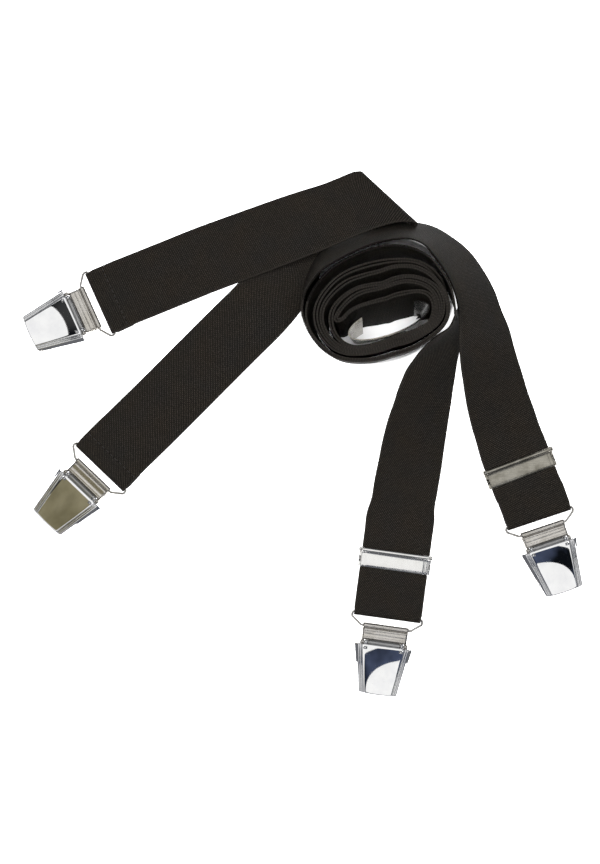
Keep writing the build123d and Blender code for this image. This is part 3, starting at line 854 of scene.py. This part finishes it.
for n in (1, 2, 3, 4):
    (ex, ey), ea = ENDS[n]
    parts = [cover(n)]
    for s in (-1, 1):
        # lugs rolled round the pin
        pts = []
        for k in range(0, 17):
            th = math.radians(-150 + 300 * k / 16 + 90)
            pts.append((15.0 + 1.25 * math.sin(math.radians(-160 + 250 * k / 16)), 3.6 + 1.25 * math.cos(math.radians(-160 + 250 * k / 16))))
        pts = [(p[0], p[1]) for p in pts] + [(17.6, 4.9), (18.6, 5.2)]
        rows = [[(s * 9.2 - 1.0, p[0], p[1]), (s * 9.2 + 1.0, p[0], p[1])] for p in pts]
        me = grid_mesh("lug", rows)
        lug = link("lug", me, MAT_CHROME)
        bake(lug, ex, ey, ea)
        so = lug.modifiers.new("sheet", "SOLIDIFY")
        so.thickness = 0.0005
        so.offset = 0
        parts.append(lug)
    dg = bpy.context.evaluated_depsgraph_get()
    for o in parts:
        finish_mods(o)
    c = join(f"cover_{n}_chrome", parts)
    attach(c, f"cover_{n}")
    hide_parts(f"clip_cover_{n}")

# ------------------------------------------------------------------ wire loops
for n in (1, 2, 3, 4):
    (ex, ey), ea = ENDS[n]
    r = random.Random(n)
    g, h, m, d, z = 0.18, 18.15, 12.75, 6.6, 2.0
    pts = [(g, d, z), (m, d, z), (h, 2.6, z), (h, 0, z), (-h, 0, z), (-h, 2.6, z), (-m, d, z), (-g, d, z)]
    path = fillet_path(pts, [1.1, 1.6, 1.5, 1.5, 1.6, 1.1], 0.6)
    o = tube(f"loop_{n}_wire", path, 0.62, MAT_WIRE, seg=16)
    bake(o, ex, ey, ea)
    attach(o, f"loop_{n}")
    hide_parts(f"wire_loop_{n}")


# ------------------------------------------------------------------ clip plates
def clip_plate(n):
    (ex, ey), ea = ENDS[n]
    mat = MAT_PLATE[n]
    parts = []
    # knuckle: sheet rolled round the narrow bar, open at the butt joint, running out into the neck
    rows = []
    R = 1.30
    prof = []
    for k in range(0, 21):
        th = math.radians(200 - 290 * k / 20)
        prof.append((6.6 + R * math.cos(th + math.pi / 2) * 1.0, 2.0 + R * math.sin(th + math.pi / 2)))
    # a full turn round the bar: from under the top, over, towards the strap, and down to the plate
    prof = []
    for k in range(0, 25):
        th = math.radians(20 + 250 * k / 24)
        prof.append((6.6 + R * math.cos(th), 2.0 + R * math.sin(th)))
    # prof now ends at the bottom of the bar; then the plate runs outward
    low = 2.0 - R
    for y in np.linspace(6.9, 38.0, 40):
        prof.append((float(y), low))
    def half(y):
        return float(np.interp(y, [6.6, 11.0, 17.0, 38.2], [11.75, 11.6, 11.2, 9.6]))
    us = [-1 + 2 * i / 24 for i in range(25)]
    for y, z in prof:
        rows.append([(u * half(max(y, 6.6)), y, z) for u in us])
    me = grid_mesh("plate", rows)
    o = link("plate", me, mat)
    bake(o, ex, ey, ea)
    so = o.modifiers.new("sheet", "SOLIDIFY"); so.thickness = 0.0005; so.offset = 0
    parts.append(o)
    # raised band over the neck between the knuckle and the pin, sloping up, with pressed ridges
    prof = [(8.0, 2.75), (8.25, 3.05), (8.7, 3.14), (9.6, 3.05), (10.0, 2.92), (10.5, 2.90), (11.9, 2.86), (12.05, 3.0), (12.2, 2.86), (12.75, 2.86), (12.9, 3.0), (13.05, 2.84)]
    rows = []
    for y, z in prof:
        rows.append([(u * (11.3 if y > 8.2 else 11.6), y, z) for u in us])
    rows.append([(u * 11.3, 13.1, 1.2) for u in us])
    me = grid_mesh("band", rows)
    o = link("band", me, mat)
    bake(o, ex, ey, ea)
    so = o.modifiers.new("sheet", "SOLIDIFY"); so.thickness = 0.0004; so.offset = -1
    parts.append(o)
    # side walls and pin ears
    for s in (-1, 1):
        out = [(8.4, 0.9), (9.0, 2.6), (12.6, 2.7)]
        for k in range(0, 13):
            th = math.radians(150 - 180 * k / 12)
            out.append((15.0 + 1.5 * math.cos(th), 3.6 + 1.5 * math.sin(th)))
        out += [(17.6, 1.6), (17.8, 0.9)]
        m = len(out)
        verts = [(s * 11.05, y, z) for y, z in out] + [(s * 11.45, y, z) for y, z in out]
        faces = [tuple(range(m)), tuple(range(2 * m - 1, m - 1, -1))] + [(i, (i + 1) % m, m + (i + 1) % m, m + i) for i in range(m)]
        me = bpy.data.meshes.new("ear"); me.from_pydata(verts, [], faces)
        bm = bmesh.new(); bm.from_mesh(me); bmesh.ops.recalc_face_normals(bm, faces=bm.faces); bm.to_mesh(me); bm.free()
        o = link("ear", me, mat, smooth=False)
        bake(o, ex, ey, ea)
        parts.append(o)
    # serrated lip
    for i in range(4):
        y = 33.8 + i
        verts = []
        for x in (-8.2, 8.2):
            verts += [(x, y - 0.42, low + 0.2), (x, y, low + 0.62), (x, y + 0.42, low + 0.2)]
        me = bpy.data.meshes.new("tooth"); me.from_pydata(verts, [], [(0, 1, 4, 3), (1, 2, 5, 4), (2, 0, 3, 5), (0, 2, 1), (3, 4, 5)])
        o = link("tooth", me, mat, smooth=False)
        bake(o, ex, ey, ea)
        parts.append(o)
    for o in parts:
        finish_mods(o)
    c = join(f"clip_{n}_plate", parts)
    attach(c, f"clip_{n}")
    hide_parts(f"clip_plate_{n}")
    # hinge pin with peened ends
    pts = [(x, 15.0, 3.6) for x in np.linspace(-12.0, 12.0, 25)]
    p = tube("pin", pts, 0.8, MAT_WIRE, seg=18)
    heads = [tube("head", [(s * 11.55, 15.0, 3.6), (s * 11.9, 15.0, 3.6), (s * 12.15, 15.0, 3.6)], 1.1, MAT_WIRE, seg=18) for s in (-1, 1)]
    for o in [p] + heads:
        bake(o, ex, ey, ea)
    c = join(f"clip_{n}_hinge_pin", [p] + heads)
    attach(c, f"clip_{n}")
    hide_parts(f"clip_pin_{n}")


MAT_PLATE = {n: nickel(f"nickel_plate_{n}", math.radians(ENDS[n][1] - 90)) for n in (1, 2, 3, 4)}
for n in (1, 2, 3, 4):
    clip_plate(n)


# ------------------------------------------------------------------ adjusters
def adjuster(n):
    (ax, ay), aa = ADJ[n]
    mat = MAT_ADJ[n]
    # back frame: plate with a slot under the strap, and two ears that carry the pin
    outer = [(-18.6, -1.6), (18.6, -1.6), (18.6, 8.3), (18.2, 8.6), (-18.2, 8.6), (-18.6, 8.3)]
    a = solid_from_outline("bar1", [(-18.6, -1.5), (18.6, -1.5), (18.6, 3.4), (-18.6, 3.4)], 1.3, 1.8, mat, 0.12)
    b = solid_from_outline("bar2", [(-18.6, 5.8), (18.6, 5.8), (18.6, 8.5), (-18.6, 8.5)], 1.3, 1.8, mat, 0.12)
    parts = [a, b]
    for s in (-1, 1):
        x0, x1 = sorted((s * 17.4, s * 18.6))
        parts.append(solid_from_outline("side", [(x0, 3.2), (x1, 3.2), (x1, 6.0), (x0, 6.0)], 1.3, 1.8, mat, 0.0))
        out = [(-1.4, 1.5), (-1.1, 4.0)]
        for k in range(0, 13):
            th = math.radians(160 - 140 * k / 12)
            out.append((1.15 * math.cos(th), 4.5 + 1.15 * math.sin(th)))
        out += [(1.1, 4.0), (1.4, 1.5)]
        m = len(out)
        verts = [(s * 18.0, y, z) for y, z in out] + [(s * 18.5, y, z) for y, z in out]
        faces = [tuple(range(m)), tuple(range(2 * m - 1, m - 1, -1))] + [(i, (i + 1) % m, m + (i + 1) % m, m + i) for i in range(m)]
        me = bpy.data.meshes.new("ear"); me.from_pydata(verts, [], faces)
        bm = bmesh.new(); bm.from_mesh(me); bmesh.ops.recalc_face_normals(bm, faces=bm.faces); bm.to_mesh(me); bm.free()
        parts.append(link("ear", me, mat, smooth=False))
        # small eyelet round each end of the pin
        pts = [(s * 18.75, 0.95 * math.cos(t), 4.5 + 0.95 * math.sin(t)) for t in np.linspace(0, 2 * math.pi, 25)[:-1]]
        parts.append(tube("eyelet", pts, 0.24, mat, seg=8, closed=True, cap=False))
    for o in parts:
        bake(o, ax, ay, aa)
    c = join(f"adjuster_{n}_back", parts)
    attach(c, f"adjuster_{n}")
    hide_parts(f"adjuster_frame_{n}")
    # pin
    p = tube("pin", [(x, 0.0, 4.5) for x in np.linspace(-19.1, 19.1, 39)], 0.62, MAT_WIRE, seg=16)
    bake(p, ax, ay, aa)
    p.name = p.data.name = f"adjuster_{n}_rod"
    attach(p, f"adjuster_{n}")
    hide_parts(f"adjuster_pin_{n}")
    # front flap: sheet rolled round the pin, side bands pressed a little lower, front edge rolled under
    us = [-17.4, -17.3, -17.1, -16.6, -15.9, -15.6, -15.3, -15.0] + [float(v) for v in np.linspace(-14, 14, 29)] + [15.0, 15.3, 15.6, 15.9, 16.6, 17.1, 17.3, 17.4]
    prof = []
    for k in range(0, 21):
        th = math.radians(-60 - 250 * k / 20)
        prof.append((1.02 * math.cos(th), 4.5 + 1.02 * math.sin(th), 0.0))
    for y, z in ((0.75, 4.95), (1.2, 4.62), (1.7, 4.42), (2.4, 4.32), (3.5, 4.22), (4.6, 4.13), (5.6, 4.04), (6.6, 3.95), (7.4, 3.86), (8.0, 3.74), (8.4, 3.55), (8.62, 3.3), (8.66, 3.05), (8.5, 2.9)):
        prof.append((y, z, 1.0))
    rows = []
    for y, z, f in prof:
        row = []
        for x in us:
            e = abs(x)
            dz = 0.0
            if f and e > 15.0:
                dz = -0.16 * min(1.0, (e - 15.0) / 0.6)
            if f and e > 16.6:
                dz -= 0.28 * ((e - 16.6) / 0.8) ** 2
            row.append((x, y, z + dz))
        rows.append(row)
    me = grid_mesh("flap", rows)
    bm = bmesh.new(); bm.from_mesh(me); bmesh.ops.recalc_face_normals(bm, faces=bm.faces); bm.to_mesh(me); bm.free()
    o = link(f"adjuster_{n}_flap_sheet", me, mat)
    bake(o, ax, ay, aa)
    so = o.modifiers.new("sheet", "SOLIDIFY"); so.thickness = 0.00045; so.offset = 0
    finish_mods(o)
    parts = [o]
    for i in range(16):
        x = -15.75 + 2.1 * i
        verts = [(x - 0.55, 8.1, 3.2), (x + 0.55, 8.1, 3.2), (x + 0.55, 8.55, 3.2), (x - 0.55, 8.55, 3.2), (x - 0.2, 8.35, 2.75), (x + 0.2, 8.35, 2.75)]
        me = bpy.data.meshes.new("tooth"); me.from_pydata(verts, [], [(0, 1, 2, 3), (0, 4, 5, 1), (1, 5, 2), (2, 5, 4, 3), (3, 4, 0)])
        t = link("tooth", me, mat, smooth=False)
        bake(t, ax, ay, aa)
        parts.append(t)
    c = join(f"adjuster_{n}_flap", parts)
    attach(c, f"flap_{n}")
    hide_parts(f"adjuster_flap_{n}")


# lit and shaded copies of one nickel: adjuster 3 is painted bright and adjuster 4 painted dark, as painted light and
# painted shade
MAT_ADJ = {3: metal_material("nickel_adjuster_3_painted_lit", (0.90, 0.895, 0.88), 0.16, streak=math.radians(ADJ[3][1] - 90), grain=700, bump_d=0.00001, tint=(0.84, 0.83, 0.81)),
           4: metal_material("nickel_adjuster_4_painted_shaded", (0.42, 0.40, 0.35), 0.27, streak=math.radians(ADJ[4][1] - 90), grain=700, bump_d=0.00003, tint=(0.22, 0.205, 0.17))}
for n in (3, 4):
    adjuster(n)


# ------------------------------------------------------------------ doubled lower layers at the adjusters
def return_rows(n):
    (ex, ey), ea = ENDS[n]
    (px, py), pa = ADJ[n]
    de, xe = dirs(ea)
    dp, xp = dirs(pa)
    e0 = np.array([ex, ey, 0])
    p0 = np.array([px, py, 0])
    rm = FH + 0.03 + WEB_T / 2
    rows = []
    h = 17.2
    for k in range(1, 6):
        # from the clip's bar, continuing the fold's lower end
        pass
    pts = [(e0 - de * 0.0, xe, BAR_Z - rm + 0.0)]
    rows.append(np.concatenate([e0 + xe * h + [0, 0, BAR_Z - rm], e0 - xe * h + [0, 0, BAR_Z - rm]]))
    rows.append(np.concatenate([e0 - de * 4 + xe * h + [0, 0, 0.60], e0 - de * 4 - xe * h + [0, 0, 0.60]]))
    q = p0 + dp * 9.0
    rows.append(np.concatenate([q + xp * h + [0, 0, 0.60], q - xp * h + [0, 0, 0.60]]))
    # rising towards the slot behind the cross bar; the ribbon below uses only the first of these rows
    for y, z in ((6.4, 0.66), (5.4, 1.0), (4.6, 1.6)):
        q = p0 + dp * y
        rows.append(np.concatenate([q + xp * h + [0, 0, z], q - xp * h + [0, 0, z]]))
    return rows


for n in (3, 4):
    rr, ln = ribbon_mesh(f"return_{n}", spline(np.array(return_rows(n)[:4]), 1.2), w=34.4, t=0.95)
    print("RETURN", n, ln)
    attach(rr, "webbing")
    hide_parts(f"strap_{n}_return")

# ------------------------------------------------------------------ keeper
kn = bpy.data.objects.get("cross_keeper")

# ------------------------------------------------------------------ seams
for n in (1, 2):
    (ex, ey), ea = ENDS[n]
    parts = []
    rm = FH + 0.03 + WEB_T / 2
    for i in range(11):
        x = -15.2 + 3.04 * i
        zt = BAR_Z + rm - 0.58 + WEB_T / 2
        pts = [(x - 0.85, -7.5, zt - 0.06), (x - 0.45, -7.5, zt + 0.10), (x, -7.5, zt + 0.15), (x + 0.45, -7.5, zt + 0.10), (x + 0.85, -7.5, zt - 0.06)]
        parts.append(tube("stitch", pts, 0.17, MAT_THREAD, seg=8))
    for o in parts:
        bake(o, ex, ey, ea)
    c = join(f"seam_{n}_thread", parts)
    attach(c, "webbing")
    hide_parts(f"seam_{n}")

# ------------------------------------------------------------------ roles of the webbing pieces
for o in (web_a, web_b, back_1, back_2):
    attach(o, "webbing")
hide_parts("strap_3_run", "strap_3_fold", "webbing_coil")
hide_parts("strap_4_run", "strap_4_fold")
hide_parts("strap_1_run", "strap_1_fold", "strap_1_tuck")
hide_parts("strap_2_run", "strap_2_fold")

# ------------------------------------------------------------------ materials of the carried-over parts
for name, o in nodes.items():
    mat = None
    if name.startswith("clip_jaw"):
        mat = MAT_JAW
    elif name == "cross_keeper":
        mat = MAT_KEEP
    elif name.startswith(("wire_loop", "clip_pin", "adjuster_pin")):
        mat = MAT_WIRE
    elif name.startswith("clip_cover"):
        mat = MAT_CHROME
    elif name.startswith("clip_plate"):
        mat = MAT_PLATE[int(name[-1])]
    elif name.startswith("adjuster"):
        mat = MAT_ADJ[int(name[-1])]
    elif name.startswith("seam"):
        mat = MAT_THREAD
    if mat:
        o.data.materials.clear()
        o.data.materials.append(mat)

# ------------------------------------------------------------------ floor, world and light
fm, fnt, fb = new_mat("floor")
tc = N(fnt, "ShaderNodeTexCoord")
fn = N(fnt, "ShaderNodeTexNoise"); fnt.links.new(tc.outputs["Object"], fn.inputs["Vector"]); fn.inputs["Scale"].default_value = 30
fc = ramp(fnt, fn.outputs[0], [(0.3, (0.93, 0.93, 0.93)), (0.7, (0.95, 0.95, 0.95))])
fnt.links.new(fc, fb.inputs["Base Color"])
fb.inputs["Roughness"].default_value = 0.8
fb.inputs["Emission Color"].default_value = (1, 1, 1, 1)
# the floor glows white as a light table, except inside an ellipse under the coil where the glow is switched off:
# painted shade in the roll's gaps
mpf = N(fnt, "ShaderNodeMapping", vector_type="TEXTURE")
fnt.links.new(tc.outputs["Object"], mpf.inputs[0])
mpf.inputs["Location"].default_value = ((40.0 + SX) * MM, 69.5 * MM, 0)
mpf.inputs["Rotation"].default_value = (0, 0, 0.249)
mpf.inputs["Scale"].default_value = (40.0 * MM, 33.0 * MM, 1)
ln_ = N(fnt, "ShaderNodeVectorMath", operation="LENGTH")
fnt.links.new(mpf.outputs[0], ln_.inputs[0])
floor_glow_painted_shade_mask = math_node(fnt, "MULTIPLY", math_node(fnt, "SUBTRACT", ln_.outputs["Value"], vb=1.0), vb=30.0, clamp=True)
fnt.links.new(math_node(fnt, "MULTIPLY", floor_glow_painted_shade_mask, vb=1.0), fb.inputs["Emission Strength"])
me = bpy.data.meshes.new("floor")
S = 30.0
me.from_pydata([(-S, -S, 0), (S, -S, 0), (S, S, 0), (-S, S, 0)], [], [(0, 1, 2, 3)])
floor = bpy.data.objects.new("floor", me)
scene.collection.objects.link(floor)
me.materials.append(fm)
floor.location.z = -0.0001

wld = bpy.data.worlds.new("world")
scene.world = wld
wld.use_nodes = True
wnt = wld.node_tree
for n_ in list(wnt.nodes):
    wnt.nodes.remove(n_)
wo = wnt.nodes.new("ShaderNodeOutputWorld")
bgn = wnt.nodes.new("ShaderNodeBackground")
bgn.inputs[0].default_value = (0.30, 0.31, 0.33, 1)
bgn.inputs[1].default_value = 0.45
wnt.links.new(bgn.outputs[0], wo.inputs[0])


def area(name, loc, target, size, power, shape="RECTANGLE", size_y=None, col=(1, 1, 1)):
    d = bpy.data.lights.new(name, "AREA")
    d.shape = shape
    d.size = size
    if size_y:
        d.size_y = size_y
    d.energy = power
    d.color = col
    o = bpy.data.objects.new(name, d)
    scene.collection.objects.link(o)
    o.location = loc
    v = Vector(target) - Vector(loc)
    o.rotation_euler = v.to_track_quat("-Z", "Y").to_euler()
    return o


scene.view_settings.view_transform = "Standard"
key = area("overhead", (0.0, 0.05, 1.9), (0, 0, 0), 1.5, 67, size_y=1.5)


def ring(name, n, toward_lip, across, r_in, r_out, dark, light, wide=1.15):
    """Studio flag: a flat dark ring (or disc) low over one clip, seen only in polished metal."""
    (ex, ey), ea = ENDS[n]
    d, x = dirs(ea)
    c = np.array([ex, ey, 0.0]) + d * 26
    c = c + (np.array([*FLAT[n], 0.0]) * 1000 - c) * (FLAG_Z / 1.9)
    c = c + d * toward_lip + x * across
    verts, faces = [], []
    m = 96
    for r in (r_out, r_in):
        for k in range(m):
            t = 2 * math.pi * k / m
            q = (c + d * r * math.cos(t) + x * r * wide * math.sin(t)) * MM
            verts.append((q[0], q[1], 0.0))
    if r_in > 0:
        faces = [(k, (k + 1) % m, m + (k + 1) % m, m + k) for k in range(m)]
    else:
        verts = verts[:m]
        faces = [tuple(range(m))]
    return glossy_card(name, verts, faces, FLAG_Z * 1.0, dark, light, 22)


def glossy_card(name, verts, faces, z, dark, light, scale):
    me = bpy.data.meshes.new(name)
    me.from_pydata(verts, [], faces)
    o = bpy.data.objects.new(name, me)
    scene.collection.objects.link(o)
    o.location.z = z
    m, nt, bs = new_mat(name)
    t = N(nt, "ShaderNodeTexCoord")
    ns = N(nt, "ShaderNodeTexNoise")
    nt.links.new(t.outputs["Object"], ns.inputs["Vector"])
    ns.inputs["Scale"].default_value = scale
    ns.inputs["Detail"].default_value = 3
    cr = ramp(nt, ns.outputs[0], [(0.40, dark), (0.68, light)])
    nt.links.new(cr, bs.inputs["Emission Color"])
    bs.inputs["Emission Strength"].default_value = 1.0
    bs.inputs["Base Color"].default_value = (0, 0, 0, 1)
    bs.inputs["Specular IOR Level"].default_value = 0.0
    me.materials.append(m)
    o.visible_camera = False
    o.visible_diffuse = False
    o.visible_shadow = False
    o.visible_transmission = False
    return o


# where a level mirror at each clip reflects the plane of the overhead panel (m)
FLAT = {1: (-0.31, 0.37), 2: (-0.31, 0.08), 3: (0.12, -0.11), 4: (0.33, 0.02)}
FLAG_Z = 0.08
INK, BLUE, OLIVE, STONE = (0.004, 0.005, 0.007), (0.075, 0.095, 0.16), (0.16, 0.142, 0.082), (0.30, 0.27, 0.17)
ring("flag_1", 1, 24, -4, 36, 51, INK, (0.05, 0.05, 0.05))
ring("flag_2", 2, 4, 0, 0, 27, OLIVE, STONE, 2.1)
ring("flag_3", 3, 24, -22, 35, 50, INK, BLUE, 1.3)
ring("flag_4", 4, 24, 17, 35, 50, INK, BLUE)
glossy_card("white_panel", [(-1.4, -1.3, 0), (1.4, -1.3, 0), (1.4, 1.4, 0), (-1.4, 1.4, 0)], [(0, 1, 2, 3)], 1.89, (0.93, 0.93, 0.92), (0.98, 0.98, 0.97), 2)
key.visible_glossy = False
# a flag over the slot between the front strap and the roll keeps the panel's light out of it
bl = sorted((math.degrees(math.atan2(r[1] - ROLL[1], r[0] - ROLL[0])) % 360.0, math.hypot(r[0] - ROLL[0], r[1] - ROLL[1]), r[2]) for r in raw(S4[5:]) if r[1] > 50)
verts = []
for a_ in np.arange(6.0, 172.0, 4.0):
    r0, r1 = interp(STACK[3], a_) - 0.4, float(np.interp(a_, [q[0] for q in bl], [q[1] for q in bl])) + 0.8
    for r_, z_ in ((r0, ZT + 0.25), (max(r1, r0 + 0.2), float(np.interp(a_, [q[0] for q in bl], [q[2] for q in bl])) + 2.2)):
        verts.append(((ROLL[0] + SX + r_ * math.cos(math.radians(a_))) * MM, (ROLL[1] + r_ * math.sin(math.radians(a_))) * MM, z_ * MM))
slot_flag = glossy_card("slot_flag", verts, [(2 * k, 2 * k + 1, 2 * k + 3, 2 * k + 2) for k in range(len(verts) // 2 - 1)], 0.0, (0, 0, 0), (0.001, 0.001, 0.001), 2)
slot_flag.visible_shadow = True
slot_flag.visible_glossy = False
fill = area("left", (-2.0, -0.4, 1.0), (0, 0, 0), 0.9, 14, size_y=0.9)
fill.visible_glossy = False
